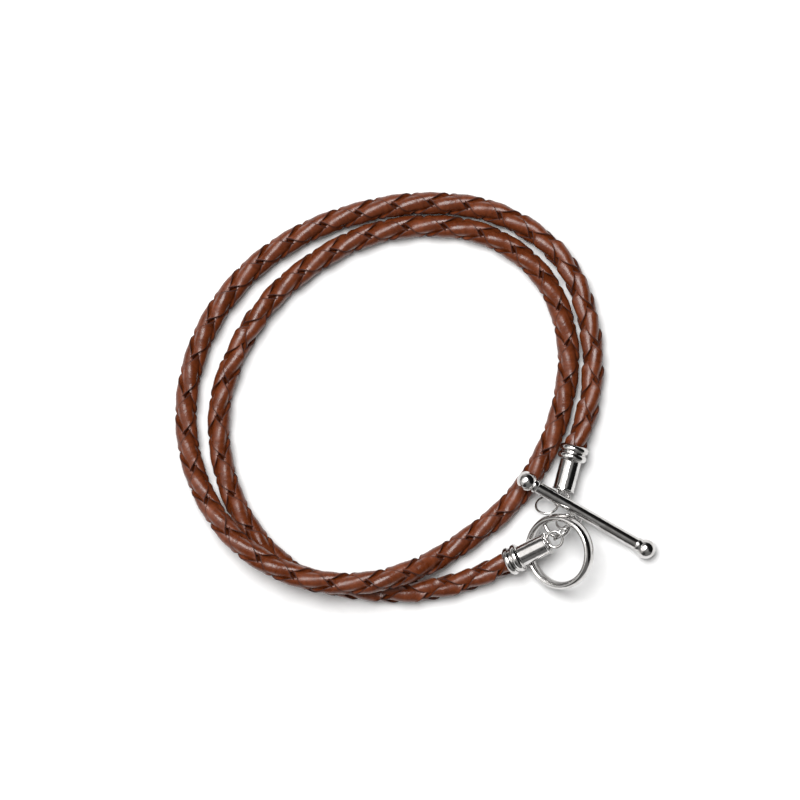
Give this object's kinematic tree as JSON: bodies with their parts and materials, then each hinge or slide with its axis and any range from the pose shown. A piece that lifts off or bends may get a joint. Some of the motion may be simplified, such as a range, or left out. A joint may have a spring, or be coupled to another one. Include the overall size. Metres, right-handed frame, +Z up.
{
  "type": "leather wrap bracelet",
  "caption": "Bracelet of braided round leather cord that wraps the wrist twice, with polished end caps, jump rings and a toggle ring and bar clasp.",
  "frame": {"origin": "middle of the wrist opening, on the surface that the bracelet lies on", "axes": "+X along the longest extent, towards the toggle bar; +Z up along the wrist's axis, out of the surface"},
  "size_m": [0.0786, 0.0672, 0.0082],
  "materials": {
    "leather": "smooth dyed leather with a soft sheen",
    "silver": "polished silver"
  },
  "bodies": {
    "root": {"strand_1": "leather", "strand_2": "leather", "strand_3": "leather", "strand_4": "leather", "end_cap_a": "silver", "end_cap_b": "silver", "jump_ring_1": "silver", "jump_ring_2": "silver", "jump_ring_3": "silver", "toggle_ring": "silver", "toggle_bar": "silver"}
  },
  "joints": []
}
